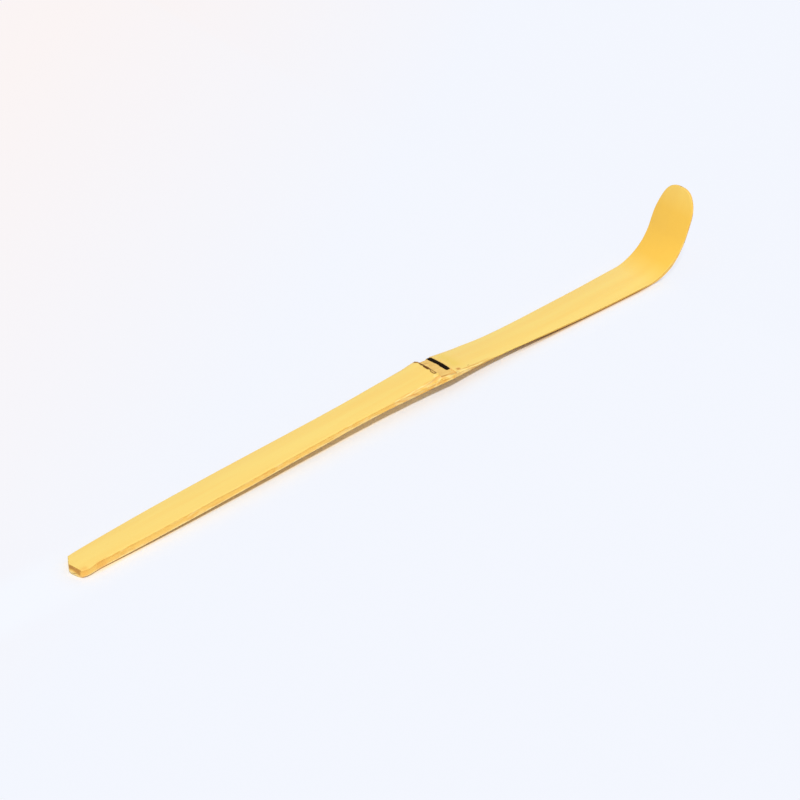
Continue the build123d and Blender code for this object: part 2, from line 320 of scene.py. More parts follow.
def half_width(s, side):
    """Distance from the middle to the outline, on the near side (-1) or the far side (1)."""
    waves = 0.5 + 0.35 * ripple(s / LONG_WAVE, side, 3) + 0.15 * ripple(s / SHORT_WAVE, side, 5)
    whole = near_outline(s) - WAVE_DEPTH * waves * step(0, 3 * MM, TIP - TIP_ROUND - s)
    from_tip = np.clip((TIP - s) / TIP_ROUND, 0, 1)
    rounded = (1 - (1 - from_tip) ** TIP_POWER) ** (1 / TIP_POWER)
    trimmed = TRIM_INNER + s * TRIM_WIDTH / TRIM_LENGTH
    worn = whole + END_SWELL * step(6 * MM, 1 * MM, s) - rounding(np.maximum(s, 0), CORNER_ROUND)
    flare = SCAR_FLARE * between(s, SCAR - 7 * MM, SCAR - 1 * MM, SCAR, SCAR + 0.5 * MM)
    inset = BAND_INSET * between(s, SCAR, SCAR + 0.8 * MM, LIP - 1.6 * MM, LIP - 0.9 * MM)
    swell = HEEL_SWELL * between(s, HEEL - 14 * MM, HEEL - 3 * MM, HEEL + 3 * MM, HEEL + 10 * MM)
    uneven = np.minimum(whole + (flare - inset + swell), trimmed)
    return np.where(side > 0, uneven, worn) * rounded


def edge_distance(s, y):
    """Distance in from the outline, measured square to it."""
    side = np.where(y < 0, -1, 1)
    half = half_width(s, side)
    reach = 0.02 * MM
    ahead, behind = half_width(np.minimum(s + reach, TIP), side), half_width(np.maximum(s - reach, 0), side)
    slope = (ahead - behind) / (2 * reach)
    across = (half - np.abs(y)) / np.sqrt(1 + slope * slope)
    return np.clip(np.minimum(across, TIP - s), 0, None)


def camber(y):
    """How far the culm's round surface falls, at a distance across from its crown."""
    return CULM_RADIUS - np.sqrt(CULM_RADIUS**2 - y * y)


# How far the knife undercut the sides, at places along the strip; below 0 the foot stands out
UNDERCUT_PLACES = np.array([38, 58, 76, 84, 88, 93, 98.5, 104, 109, 118, 157, 164]) * MM
UNDERCUT_DEPTHS = np.array([0, -0.03, -0.02, 0.12, 0.28, 0.25, -0.01, 0.24, 0.4, 0.72, 0.65, 0]) * MM

# Inner edges of the knife facets beside the node: places along the strip and half widths
FACET_PLACES = np.array([SCAR - 18 * MM, SCAR - 4 * MM, SCAR, LIP, LIP + 6 * MM, LIP + 14.3 * MM])
NEAR_HALVES = np.array([3.75, 3.25, 3.45, 3.8, 3.75, 4.15]) * MM
FAR_HALVES = np.array([3.75, 3.6, 3.6, 3.3, 3.4, 4.15]) * MM


def facet_edge(s, y):
    """Half width of the whole skin between the facets, as the knife really left it."""
    return np.where(y < 0, np.interp(s, FACET_PLACES, NEAR_HALVES), np.interp(s, FACET_PLACES, FAR_HALVES))


def facet(s, y):
    """Height of the knife facets beside the node, or far above the strip where there are none."""
    half = facet_edge(s, y) + FACET_WANDER * ripple(s / (2.2 * MM), np.sign(y), 11)
    ends = np.array([handle_crown(FACET_PLACES[0]), handle_crown(FACET_PLACES[1]), handle_crown(SCAR)])
    ends = np.concatenate([ends, scoop_crown(FACET_PLACES[3:])])
    edge = np.interp(s, FACET_PLACES, ends) - camber(half)
    height = edge - (np.abs(y) - half) * math.tan(FACET_SLOPE)
    inside = (s > FACET_PLACES[0]) & (s < FACET_PLACES[-1]) & (np.abs(y) > half)
    return np.where(inside, height, FAR_OFF)


def skin(line, s, y):
    """Height of the culm's surface as it grew, before the knife."""
    return line(s) - camber(y)


def carved(line, s, y):
    """Height of the top as the knife leaves it, with worn edges."""
    height = skin(line, s, y)
    height = height + SKIN_WAVE * grain(s, y, 16, 1.6, 17)
    height = height + SKIN_GRAIN * grain(s, y, 7, 0.35, 19)
    cut = facet(s, y) + FACET_GRAIN * grain(s, y, 3, 0.22, 23)
    return np.minimum(height, cut) - rounding(edge_distance(s, y), TOP_ROUND)


def hollow(s, side):
    """How far the foot of the side stands in: under node and stem, and round the near corner."""
    under = np.interp(s, UNDERCUT_PLACES, UNDERCUT_DEPTHS)
    foot = rounding(np.maximum(s, 0), CORNER_FOOT_ROUND) - rounding(np.maximum(s, 0), CORNER_ROUND)
    return np.where(side < 0, under + foot, np.maximum(under, 0))


def back(s, y):
    """Height of the back: long plane cuts that meet in soft ridges, and a bevel at each edge."""
    swerve = 0.7 * ripple(s / (30 * MM), 0, 29)
    cuts = np.abs(((y / MM + swerve) / PLANE_CUT_MM) % 1 - 0.5)
    ridges = PLANE_DEPTH * (0.5 - cuts) * step(0, PLANE_START, s) * step(0, PLANE_END, HEEL - s)
    height = back_line(s) + ridges
    height = height + BACK_GRAIN * (1 + grain(s, y, 9, 0.5, 31)) * step(0, PLANE_START, s)
    distance = np.maximum(edge_distance(s, y) - hollow(s, np.sign(y)), 0)
    lost = BEVEL_LOST * between(s, SCAR - 16 * MM, SCAR - 5 * MM, HEEL + 2 * MM, HEEL + 9 * MM)
    bevel = BACK_BEVEL * (1 - lost) * (1 + 0.12 * ripple(s / (8 * MM), np.sign(y), 37))
    return height + np.clip(bevel - distance, 0, None) + rounding(s, END_FOOT_ROUND)


def side_y(s, n, side):
    """Where the strip's side is at a height, hollowed a little by each stroke of the knife."""
    half = half_width(s, side)
    low = back(s, side * half)
    high = np.minimum(crown(s) - camber(half), facet(s, side * half))
    level = np.clip((n - low) / (high - low), 0, 1)
    strokes = s / STROKE_LENGTH + 0.35 * level + 0.4 * ripple(s / (31 * MM), side, 41)
    cuts = np.abs(np.sin(math.pi * strokes))
    stroke = STROKE_DEPTH * (0.35 + 0.65 * cuts) * np.sin(math.pi * level) ** 0.7
    return side * (half - stroke - hollow(s, side) * (1 - level))


def eye_bulge(y):
    """Where the scar parts round a splinter, near its near end."""
    return bell(y + 1.6 * MM, 0.72 * MM, 4)


def scar_front(y):
    """How far the sheath scar's ragged edge stands back from the node's step."""
    teeth = 0.5 + 0.5 * ripple(y / (0.62 * MM), 0, 43) + 0.35 * ripple(y / (0.24 * MM), 0, 47)
    far_end = step(3.0 * MM, 4.0 * MM, y)
    thick = 0.3 * bell(y - 0.45 * MM, 0.85 * MM, 4)
    return (0.16 + 0.16 * np.clip(teeth, 0, 1.4) + 0.45 * eye_bulge(y) + 0.25 * far_end + thick) * MM


def scar_lip(y):
    """How far broken fibres of the scar reach over the band."""
    teeth = ripple(y / (0.4 * MM), 0, 53) + 0.6 * ripple(y / (0.17 * MM), 0, 59)
    return SCAR_REACH * np.clip(0.6 + teeth, 0, 2)


# The last places across the strip, as shares of its half width
EDGE_ROWS = np.array([0.9, 0.925, 0.947, 0.965, 0.98, 0.992, 1.0])


def rows(count):
    """Places across the strip, evenly spaced in the middle and close together at its edges."""
    middle = np.linspace(-EDGE_ROWS[0], EDGE_ROWS[0], count)
    return np.concatenate([-EDGE_ROWS[:0:-1], middle, EDGE_ROWS[1:]])


# Places close behind the cut end, then stretches of the strip with the distance between
# their stations, and the number of stations round the tip
END_STATIONS = np.array([0, 0.01, 0.03, 0.06, 0.1, 0.14, 0.19, 0.25, 0.33]) * MM
STRETCHES = [
    (0.45 * MM, 2 * MM, 0.12 * MM),
    (2 * MM, SCAR - 9 * MM, 0.5 * MM),
    (SCAR - 9 * MM, SCAR - 1.5 * MM, 0.25 * MM),
    (SCAR - 1.5 * MM, LIP + 4 * MM, 0.1 * MM),
    (LIP + 4 * MM, LIP + 15 * MM, 0.25 * MM),
    (LIP + 15 * MM, TIP - TIP_ROUND, 0.45 * MM),
]
TIP_STATIONS = 64


def stations(start, end):
    """Places along the strip, close together at the cut end, about the node and at the tip."""
    spots = [END_STATIONS] + [np.arange(*stretch) for stretch in STRETCHES]
    spots.append(TIP - TIP_ROUND * (1 - np.sin(np.linspace(0, math.pi / 2, TIP_STATIONS)[:-1])))
    spots = np.concatenate(spots)
    inside = spots[(spots > start + THIN) & (spots < end - THIN)]
    return np.concatenate([[start], inside, [end]])


# Stains and streaks about the node and at the cut end. Each has the place that it is
# measured from, then in millimetres its place along and across the strip, its length and
# its width, and then its turn in degrees and its strength.
MARKS = {
    "dark": [
        (SCAR, 5.4, -3.36, 0.95, 0.5, 0, 0.5),
        (SCAR, 1.15, -3.42, 2.2, 0.24, -6, 0.6),
        (SCAR, 3.7, -4.0, 2.6, 0.2, -5, 0.6),
        (SCAR, 8.3, -3.3, 0.6, 0.24, 0, 0.5),
        (SCAR, -2.4, -3.6, 2.6, 0.12, 2, 0.45),
        (SCAR, 11.2, -3.6, 3.0, 0.09, 2, 0.25),
    ],
    "warm": [
        (SCAR, 5.4, -3.36, 1.15, 0.66, 0, 0.85),
        (SCAR, 1.15, -3.42, 2.4, 0.3, -6, 0.5),
        (0, 0.9, -2.75, 1.9, 1.2, 0, 0.35),
        (0, 5.5, -3.0, 3.0, 0.5, 0, 0.3),
        (SCAR, -0.8, -3.75, 4.6, 0.42, 1, 0.55),
        (SCAR, 3.0, -3.45, 2.6, 0.2, 2, 0.4),
        (SCAR, -9.0, -3.35, 7.0, 0.22, -1, 0.3),
        (SCAR, 12.5, -3.6, 4.0, 0.25, 4, 0.35),
    ],
    "pale": [
        (SCAR, 0.9, -3.85, 2.2, 0.2, 3, 0.5),
        (SCAR, 5.0, -4.1, 4.5, 0.26, 0, 0.5),
        (SCAR, -5.4, -3.5, 5.0, 0.14, 1, 0.35),
    ],
}


def on_side(s, y):
    """1 on the strip's two cut sides and 0 on its top and back."""
    return step(0.985, 0.995, np.abs(y) / np.maximum(half_width(s, np.sign(y)), THIN))


def facet_lines(s, y):
    """Fibres that the knife laid bare along the near facet: dark, warm and pale streaks."""
    inside = -y - facet_edge(s, y)
    zone = between(s, SCAR - 19 * MM, SCAR - 13 * MM, LIP + 7 * MM, LIP + 13 * MM) * (y < 0)
    broken = 0.55 + 0.45 * ripple(s / (2.1 * MM), 0, 83)
    broken_low = 0.5 + 0.5 * ripple(s / (3.3 * MM), 0, 89)
    dark = 0.5 * broken * bell(inside, 0.1 * MM) * step(SCAR - 3 * MM, SCAR, s)
    warm = 0.6 * broken * bell(inside, 0.16 * MM)
    warm_low = 0.6 * broken_low * bell(inside - 0.5 * MM, 0.14 * MM) * step(LIP, SCAR - 1 * MM, s)
    pale = 0.45 * (1 - 0.5 * broken_low) * bell(inside - 0.3 * MM, 0.16 * MM)
    return dark * zone, np.maximum(warm, warm_low) * zone, pale * zone


def side_painted_shade_and_highlight(s, y, depth):
    """The cut sides: painted shade along the foot of the stem, and a painted highlight along the foot of the
    handle.
    """
    foot = skin(crown, s, y) - depth - back(s, y)
    side = on_side(s, y)
    stem = between(s, SCAR + 12 * MM, SCAR + 24 * MM, HEEL + 3 * MM, HEEL + 9 * MM)
    # Painted shade: the stem's undercut foot is darkened where shade falls under it
    dark = 1.15 * step(1.2 * MM, 0.45 * MM, foot) * stem * side
    # Painted highlight: a pale line along the foot of the handle's sides, where bounce light from the table
    # falls
    pale = 0.6 * bell(foot, 0.16 * MM) * side * (s < LIP + 8 * MM)
    return dark, np.zeros(np.shape(s)), pale


def end_tones(s, y, depth):
    """The cut end: brown in a layer under the skin, which is thicker on the near side, and pale further
    down.
    """
    end_face = step(0.12 * MM, 0.02 * MM, s)
    inner = depth - 0.5 * MM * step(-0.5 * MM, -2.4 * MM, y)
    outer = end_face * step(1.3 * MM, 0.6 * MM, inner)
    dark = (0.45 + 0.15 * step(-1.5 * MM, 0.5 * MM, y)) * outer
    return dark, 0.5 * outer, 0.5 * end_face * step(1.1 * MM, 1.6 * MM, inner)


def lip_tones(s, y):
    """The upper skin's lip beside the dark line: warm behind, and pale on its worn edge."""
    warm = 0.12 * bell(s - LIP - 0.2 * MM, 0.2 * MM) * step(-2.9 * MM, -2.4 * MM, y)
    pale = 0.5 * step(LIP + 0.14 * MM, LIP + 0.02 * MM, s) * (s > LIP - 0.1 * MM)
    return np.zeros(np.shape(s)), warm, pale


def stain(kind, s, y):
    """The strength of one kind of the listed stains."""
    strength = np.zeros(np.shape(s))
    for start, along, across, length, width, turn, power in MARKS[kind]:
        a, b = math.cos(math.radians(turn)), math.sin(math.radians(turn))
        ahead, aside = s - (start + along * MM), y - across * MM
        u = (ahead * a + aside * b) / (length * MM / 2)
        v = (aside * a - ahead * b) / (width * MM / 2)
        strength = np.maximum(strength, power * np.exp(-(u**4) - v * v))
    return strength


def marks(s, y, depth):
    """The strengths of the dark, warm and pale marks at each point, one column for each kind; the dark one
    also holds painted shade and the pale one a painted highlight.
    """
    columns = [stain(kind, s, y) for kind in ("dark", "warm", "pale")]
    for tones in (facet_lines(s, y), side_painted_shade_and_highlight(s, y, depth), end_tones(s, y, depth), lip_tones(s, y)):
        columns = [np.maximum(column, tone) for column, tone in zip(columns, tones)]
    return np.stack(columns, -1)


def tissue(s, y):
    """Shares of knife-cut facet, of the scar's pale splinter and of the lip's darker dip."""
    past_scar = step(-2.35 * MM, -2.6 * MM, y) * (s > SCAR - 1.2 * MM) * (s < SCAR + 0.12 * MM)
    cut = np.maximum(faceted(s, y) * (y < 0), past_scar)
    cut = np.maximum(cut, 0.7 * on_side(s, y))
    splinter = eye_bulge(y) * bell(s - SCAR + 0.5 * scar_front(y), 0.15 * MM, 4)
    dip = bell(s - LIP - 1.9 * MM, 1.3 * MM) * between(y, -3.0 * MM, -1.5 * MM, 2.5 * MM, 4.2 * MM)
    return np.stack([cut, splinter, dip], -1)


def drawn_in(across, s, y, height):
    """One face's places across and heights, drawn in at both edges to meet the sides."""
    n = height(s, y)
    near_edge = side_y(s[:, :1], n[:, :1], -1)
    far_edge = side_y(s[:, -1:], n[:, -1:], 1)
    drawn = np.abs(across) * np.where(across < 0, near_edge, far_edge)
    return drawn, height(s, drawn)


def wall(s, top, bottom, levels, side):
    """Points down one side, between the top's edge and the back's edge."""
    places = np.repeat(s[:, None], levels, 1)
    share = np.arange(levels, 0, -1)[None, :] / (levels + 1)
    heights = bottom[:, None] + share * (top[:, None] - bottom[:, None])
    return places, side_y(places, heights, side), heights


def ring_faces(count, around):
    """Faces between a row of rings of points, each ring joined to the next."""
    ring = np.arange(count * around).reshape(count, around)
    after = np.roll(ring, -1, 1)
    return np.stack([ring[:-1], after[:-1], after[1:], ring[1:]], -1).reshape(-1, 4).tolist()


def end_grid(base, width, levels, first_new):
    """Point numbers of the grid that closes one end, from the top's row to the back's."""
    grid = np.zeros((levels + 2, width), int)
    grid[0] = base + np.arange(width)
    grid[-1] = base + width + levels + np.arange(width)[::-1]
    grid[1:-1, -1] = base + width + np.arange(levels)
    grid[1:-1, 0] = base + 2 * width + levels + np.arange(levels)[::-1]
    grid[1:-1, 1:-1] = first_new + np.arange(levels * (width - 2)).reshape(levels, width - 2)
    return grid


def grid_faces(grid):
    """The four-cornered faces of a grid of point numbers."""
    return np.stack([grid[:-1, :-1], grid[:-1, 1:], grid[1:, 1:], grid[1:, :-1]], -1).reshape(-1, 4)


def end_fill(across, s, top, bottom, near_y, far_y):
    """Points inside one end's grid, row by row under the top."""
    levels = len(near_y)
    share = 1 - np.arange(1, levels + 1)[:, None] / (levels + 1)
    blend = (across[1:-1] + 1) / 2
    fill_y = near_y[:, None] * (1 - blend) + far_y[:, None] * blend
    fill_n = (bottom + share * (top - bottom))[:, 1:-1]
    fill_s = np.broadcast_to(s[1:-1], fill_y.shape)
    return np.stack([fill_s.ravel(), fill_y.ravel(), fill_n.ravel()])


def slab(name, start, end, line, upper, lower, count, levels, warp=None):
    """A closed piece of the strip between two heights, from one place along it to another.

    Each station is a ring of points: the top from near to far, the far side going down, the
    back from far to near, and the near side going up. Both ends are closed by grids.
    """
    across = rows(count)
    along = stations(start, end)
    s = np.repeat(along[:, None], len(across), 1)
    side = np.where(across < 0, -1, 1)[None, :]
    if warp is not None:
        s = warp(s, across[None, :] * half_width(s, side))
    y = across[None, :] * half_width(s, side)
    top_y, top = drawn_in(across, s, y, upper)
    bottom_y, bottom = drawn_in(across, s, y, lower)
    far_s, far_y, far_n = wall(s[:, -1], top[:, -1], bottom[:, -1], levels, 1)
    near_s, near_y, near_n = wall(s[:, 0], top[:, 0], bottom[:, 0], levels, -1)
    ring_s = np.concatenate([s, far_s, s[:, ::-1], near_s[:, ::-1]], 1)
    ring_y = np.concatenate([top_y, far_y, bottom_y[:, ::-1], near_y[:, ::-1]], 1)
    ring_n = np.concatenate([top, far_n, bottom[:, ::-1], near_n[:, ::-1]], 1)
    rings, around = ring_s.shape
    faces = ring_faces(rings, around)
    points = np.stack([ring_s.ravel(), ring_y.ravel(), ring_n.ravel()])
    for station, turn in ((0, 1), (rings - 1, -1)):
        grid = end_grid(station * around, len(across), levels, points.shape[1])
        faces += grid_faces(grid)[:, ::turn].tolist()
        fill = end_fill(across, s[station], top[station], bottom[station], near_y[station], far_y[station])
        points = np.concatenate([points, fill], 1)
    s, y, n = points
    moved_s, moved_y = handmade(s, y)
    return piece(name, place(moved_s, moved_y, n), faces, s, y, skin(line, s, y) - n)


def piece(name, points, faces, s, y, depth):
    """A smooth mesh object that carries places on the strip in millimetres, its marks and its tissues."""
    mesh = bpy.data.meshes.new(name)
    mesh.from_pydata(points.tolist(), [], faces)
    work = bmesh.new()
    work.from_mesh(mesh)
    bmesh.ops.recalc_face_normals(work, faces=work.faces)
    work.to_mesh(mesh)
    work.free()
    mesh.polygons.foreach_set("use_smooth", [True] * len(mesh.polygons))
    strip = np.stack([s, y, depth], -1) / MM
    for label, values in (("strip", strip), ("marks", marks(s, y, depth)), ("tissue", tissue(s, y))):
        layer = mesh.attributes.new(label, "FLOAT_VECTOR", "POINT")
        layer.data.foreach_set("vector", values.astype(np.float32).ravel())
    made = bpy.data.objects.new(name, mesh)
    bpy.context.scene.collection.objects.link(made)
    return made


def colour(red, green, blue):
    """A colour given as a screen shows it, from 0 to 255."""
    values = [c / 255 for c in (red, green, blue)]
    return [c / 12.92 if c <= 0.04045 else ((c + 0.055) / 1.055) ** 2.4 for c in values] + [1.0]


class Nodes:
    """Short calls for building one material's nodes."""

    def __init__(self, name):
        self.material = bpy.data.materials.new(name)
        self.material.use_nodes = True
        self.tree = self.material.node_tree
        self.shader = self.tree.nodes["Principled BSDF"]

    def new(self, kind, **settings):
        """A new node with some settings."""
        node = self.tree.nodes.new(kind)
        for key, value in settings.items():
            setattr(node, key, value)
        return node

    def link(self, output, socket):
        """A link from one node to another."""
        self.tree.links.new(output, socket)

    def give(self, socket, value):
        """A value for a socket: its own, or one that a link brings."""
        if isinstance(value, (int, float, list)):
            socket.default_value = value
        else:
            self.link(value, socket)

    def attribute(self, name):
        """One of the values that a piece's points carry."""
        node = self.new("ShaderNodeAttribute", attribute_type="GEOMETRY", attribute_name=name)
        return node.outputs["Vector"]

    def parts(self, vector):
        """The three parts of a vector."""
        node = self.new("ShaderNodeSeparateXYZ")
        self.link(vector, node.inputs[0])
        return node.outputs

    def stretched(self, vector, scale, detail=3.0, roughness=0.55, offset=(0, 0, 0)):
        """Noise whose grains are as long as scale says, in millimetres each way."""
        mapping = self.new("ShaderNodeMapping")
        mapping.inputs["Scale"].default_value = [1 / size for size in scale]
        mapping.inputs["Location"].default_value = offset
        self.link(vector, mapping.inputs["Vector"])
        noise = self.new("ShaderNodeTexNoise")
        noise.inputs["Scale"].default_value = 1.0
        noise.inputs["Detail"].default_value = detail
        noise.inputs["Roughness"].default_value = roughness
        self.link(mapping.outputs["Vector"], noise.inputs["Vector"])
        return noise.outputs["Fac"]

    def span(self, value, low, high, to_low=0.0, to_high=1.0):
        """A value that runs from to_low to to_high while another runs from low to high."""
        node = self.new("ShaderNodeMapRange")
        for name, number in (("From Min", low), ("From Max", high), ("To Min", to_low), ("To Max", to_high)):
            node.inputs[name].default_value = number
        self.link(value, node.inputs["Value"])
        return node.outputs["Result"]

    def maths(self, operation, first, second):
        """The result of one operation on two values."""
        node = self.new("ShaderNodeMath", operation=operation)
        self.give(node.inputs[0], first)
        self.give(node.inputs[1], second)
        return node.outputs[0]

    def mix(self, share, first, second):
        """The first colour, with a share of the second in it."""
        node = self.new("ShaderNodeMix", data_type="RGBA")
        for number, value in ((0, share), (6, first), (7, second)):
            self.give(node.inputs[number], value)
        return node.outputs[2]

    def surface(self, base, roughness, highlights):
        """The shader's colour, roughness and strength of highlights."""
        self.give(self.shader.inputs["Base Color"], base)
        self.give(self.shader.inputs["Roughness"], roughness)
        self.give(self.shader.inputs["Specular IOR Level"], highlights)

    def bump(self, height, strength, distance):
        """Fine relief that is too small for geometry."""
        node = self.new("ShaderNodeBump")
        node.inputs["Strength"].default_value = strength
        node.inputs["Distance"].default_value = distance
        self.link(height, node.inputs["Height"])
        self.link(node.outputs["Normal"], self.shader.inputs["Normal"])


# Colours of the bamboo's tissues and of its stains; the dark and pale stain colours also paint shade and a
# highlight on the cut sides
SKIN = colour(241, 211, 115)
SKIN_WARM = colour(241, 205, 108)
DENSE = colour(242, 190, 84)
WOOD = colour(249, 200, 98)
PITH = colour(248, 216, 140)
BUNDLE = colour(176, 118, 54)
TOASTED = colour(239, 191, 73)
OLIVE = colour(232, 200, 84)
# Dark stains, and also painted shade along the stem's foot
DARK_STAIN_AND_SHADE = colour(112, 64, 10)
WARM_STAIN = colour(228, 140, 42)
# Pale stains, and also a painted highlight along the handle's foot
PALE_STAIN_AND_HIGHLIGHT = colour(254, 232, 164)

# Colours of the bare band, the dark line, the sheath scar and the rest of the cross wall
BAND_TAN = colour(238, 200, 118)
BAND_BROWN = colour(229, 187, 104)
BAND_GRAIN = colour(206, 160, 90)
BAND_CRACK = colour(160, 108, 56)
RING_BLACK = colour(13, 7, 1)
RING_GRAIN = colour(42, 24, 8)
RING_BROWN = colour(96, 66, 38)
SCAR_DARK = colour(70, 40, 10)
SCAR_BROWN = colour(128, 82, 30)
SCAR_PALE = colour(196, 146, 80)
SPLINTER = colour(236, 192, 108)
WALL_PALE = colour(232, 198, 134)
WALL_TAN = colour(206, 160, 92)
WALL_PIT = colour(142, 94, 50)


def bamboo_colour(m):
    """Bamboo by its depth under the skin: skin, a dense layer, wood, and the soft inner side.

    The fibres, strands and depth are given too, since the surface's relief follows them.
    """
    strip = m.attribute("strip")
    along, _, depth = m.parts(strip)
    fibres = m.stretched(strip, (14, 0.16, 0.16), 4.0, 0.6)
    broad = m.stretched(strip, (38, 2.2, 1.6), 2.0, 0.5, (3, 7, 1))
    strands = m.stretched(strip, (5, 0.3, 0.3), 2.0, 0.5, (11, 2, 5))

    skin_tone = m.mix(m.span(broad, 0.35, 0.65), SKIN, SKIN_WARM)
    skin_tone = m.mix(m.span(fibres, 0.4, 0.75, 0.0, 0.16), skin_tone, DENSE)
    heated = m.span(along, HEEL / MM, (HEEL + 7 * MM) / MM)
    cooler = m.span(along, (TIP - 6 * MM) / MM, (TIP + 1 * MM) / MM, 1.0, 0.3)
    skin_tone = m.mix(m.maths("MULTIPLY", heated, cooler), skin_tone, TOASTED)
    dense_tone = m.mix(m.span(fibres, 0.35, 0.7, 0.0, 0.8), DENSE, WOOD)
    wood_tone = m.mix(m.span(fibres, 0.45, 0.72, 0.0, 0.55), WOOD, DENSE)
    pith_tone = m.mix(m.span(fibres, 0.4, 0.7, 0.0, 0.45), PITH, WOOD)
    base = m.mix(m.span(depth, 0.06, 0.25), skin_tone, dense_tone)
    base = m.mix(m.span(depth, 0.35, 0.9), base, wood_tone)
    base = m.mix(m.span(depth, 1.2, 2.0), base, pith_tone)

    dashes = m.maths("MULTIPLY", m.span(strands, 0.63, 0.72), m.span(depth, 0.12, 0.5, 0.0, 0.5))
    base = m.mix(m.maths("MULTIPLY", dashes, m.span(along, 0.1, 0.6)), base, BUNDLE)
    cut, _, dip = m.parts(m.attribute("tissue"))
    patches = m.stretched(strip, (1.8, 0.4, 0.5), 2.0, 0.5, (4, 1, 9))
    base = m.mix(m.maths("MULTIPLY", cut, m.span(patches, 0.5, 0.62, 0.0, 0.45)), base, PALE_STAIN_AND_HIGHLIGHT)
    base = m.mix(m.maths("MULTIPLY", cut, m.span(patches, 0.47, 0.36, 0.0, 0.45)), base, WARM_STAIN)
    base = m.mix(m.maths("MULTIPLY", dip, 0.7), base, OLIVE)
    # The dark marks include painted shade along the stem's foot, and the pale ones a painted highlight along
    # the handle's foot
    dark, warm, pale = m.parts(m.attribute("marks"))
    ragged = m.span(fibres, 0.3, 0.6, 0.45, 1.15)
    base = m.mix(m.maths("MULTIPLY", pale, ragged), base, PALE_STAIN_AND_HIGHLIGHT)
    base = m.mix(m.maths("MULTIPLY", warm, ragged), base, WARM_STAIN)
    return m.mix(m.maths("MULTIPLY", dark, ragged), base, DARK_STAIN_AND_SHADE), fibres, strands, depth


def bamboo(name):
    """Bamboo, with a smoother face on its skin than where the knife laid it bare."""
    m = Nodes(name)
    base, fibres, strands, depth = bamboo_colour(m)
    rough = m.maths("ADD", m.span(depth, 0.03, 0.3, 0.42, 0.62), m.span(fibres, 0.3, 0.7, -0.05, 0.06))
    m.surface(base, rough, 0.35)
    m.bump(m.maths("ADD", fibres, m.maths("MULTIPLY", strands, m.span(depth, 0.05, 0.3))), 0.35, 0.02 * MM)
    return m.material


def grown_only(m, base):
    """The node's own colour where the culm grew, and plain bamboo where the knife cut."""
    return m.mix(m.parts(m.attribute("tissue"))[0], base, bamboo_colour(m)[0])


def band_material():
    """The node's bare band: matte, tan, with fine lengthwise cracks."""
    m = Nodes("bare_band")
    strip = m.attribute("strip")
    fine = m.stretched(strip, (2.4, 0.14, 0.3), 4.0, 0.65)
    cracks = m.stretched(strip, (3.2, 0.42, 1.0), 1.0, 0.4, (5, 3, 8))
    blotches = m.stretched(strip, (1.3, 0.9, 1.0), 2.0, 0.6, (1, 9, 4))
    base = m.mix(m.span(blotches, 0.35, 0.7), BAND_TAN, BAND_BROWN)
    base = m.mix(m.span(fine, 0.45, 0.75, 0.0, 0.5), base, BAND_GRAIN)
    base = m.mix(m.span(cracks, 0.66, 0.74, 0.0, 0.7), base, BAND_CRACK)
    dark, warm = m.parts(m.attribute("marks"))[0:2]
    base = m.mix(dark, m.mix(warm, base, WARM_STAIN), DARK_STAIN_AND_SHADE)
    m.surface(grown_only(m, base), m.span(fine, 0.3, 0.7, 0.62, 0.8), 0.25)
    m.bump(m.maths("SUBTRACT", fine, m.span(cracks, 0.64, 0.74)), 0.5, 0.03 * MM)
    return m.material


def ring_material():
    """The node's dark line: nearly black, with brown where it thins at the far edge."""
    m = Nodes("dark_line")
    strip = m.attribute("strip")
    specks = m.stretched(strip, (0.22, 0.35, 0.3), 4.0, 0.65)
    across = m.parts(strip)[1]
    base = m.mix(m.span(specks, 0.4, 0.75), RING_BLACK, RING_GRAIN)
    base = m.mix(m.span(across, 3.4, 4.1, 0.0, 0.6), base, RING_BROWN)
    m.surface(base, m.span(specks, 0.3, 0.7, 0.6, 0.85), 0.04)
    m.bump(specks, 0.6, 0.04 * MM)
    return m.material


def scar_material():
    """The sheath scar: broken brown fibres, with a paler splinter where they part."""
    m = Nodes("sheath_scar")
    strip = m.attribute("strip")
    fibres = m.stretched(strip, (0.5, 0.1, 0.12), 4.0, 0.6)
    _, across, depth = m.parts(strip)
    base = m.mix(m.span(fibres, 0.35, 0.7), SCAR_DARK, SCAR_BROWN)
    base = m.mix(m.span(depth, 0.1, 0.45, 0.0, 0.7), base, SCAR_PALE)
    base = m.mix(m.span(across, 1.8, 3.0, 0.0, 0.6), base, SCAR_PALE)
    base = m.mix(m.parts(m.attribute("tissue"))[1], base, SPLINTER)
    m.surface(grown_only(m, base), m.span(fibres, 0.3, 0.7, 0.6, 0.85), 0.2)
    m.bump(fibres, 0.8, 0.04 * MM)
    return m.material


def wall_scar_material():
    """What is left of the cross wall: pale, pitted and rough."""
    m = Nodes("cross_wall")
    strip = m.attribute("strip")
    pits = m.stretched(strip, (0.35, 0.4, 0.3), 4.0, 0.65)
    broad = m.stretched(strip, (1.2, 2.4, 1.0), 2.0, 0.5, (2, 6, 3))
    base = m.mix(m.span(broad, 0.35, 0.65), WALL_PALE, WALL_TAN)
    base = m.mix(m.span(pits, 0.55, 0.75, 0.0, 0.8), base, WALL_PIT)
    m.surface(base, m.span(pits, 0.3, 0.7, 0.65, 0.85), 0.2)
    m.bump(pits, 0.7, 0.05 * MM)
    return m.material


# How finely each piece is cut: places across the skins and the wood, and levels up their sides
SKIN_ROWS = 84
SKIN_LEVELS = 3
WOOD_ROWS = 44
WOOD_LEVELS = 12

# The short stretch in which the handle's skin gives way to the scar
SCAR_STRETCH = 0.3 * MM


def under_rind(line, top):
    """The face between skin and wood, which stays just under the carved top and the worn one."""

    def face(s, y):
        below = np.minimum(skin(line, s, y) - RIND, carved(line, s, y) - THIN)
        return np.minimum(below, top(s, y) - THIN)

    return face


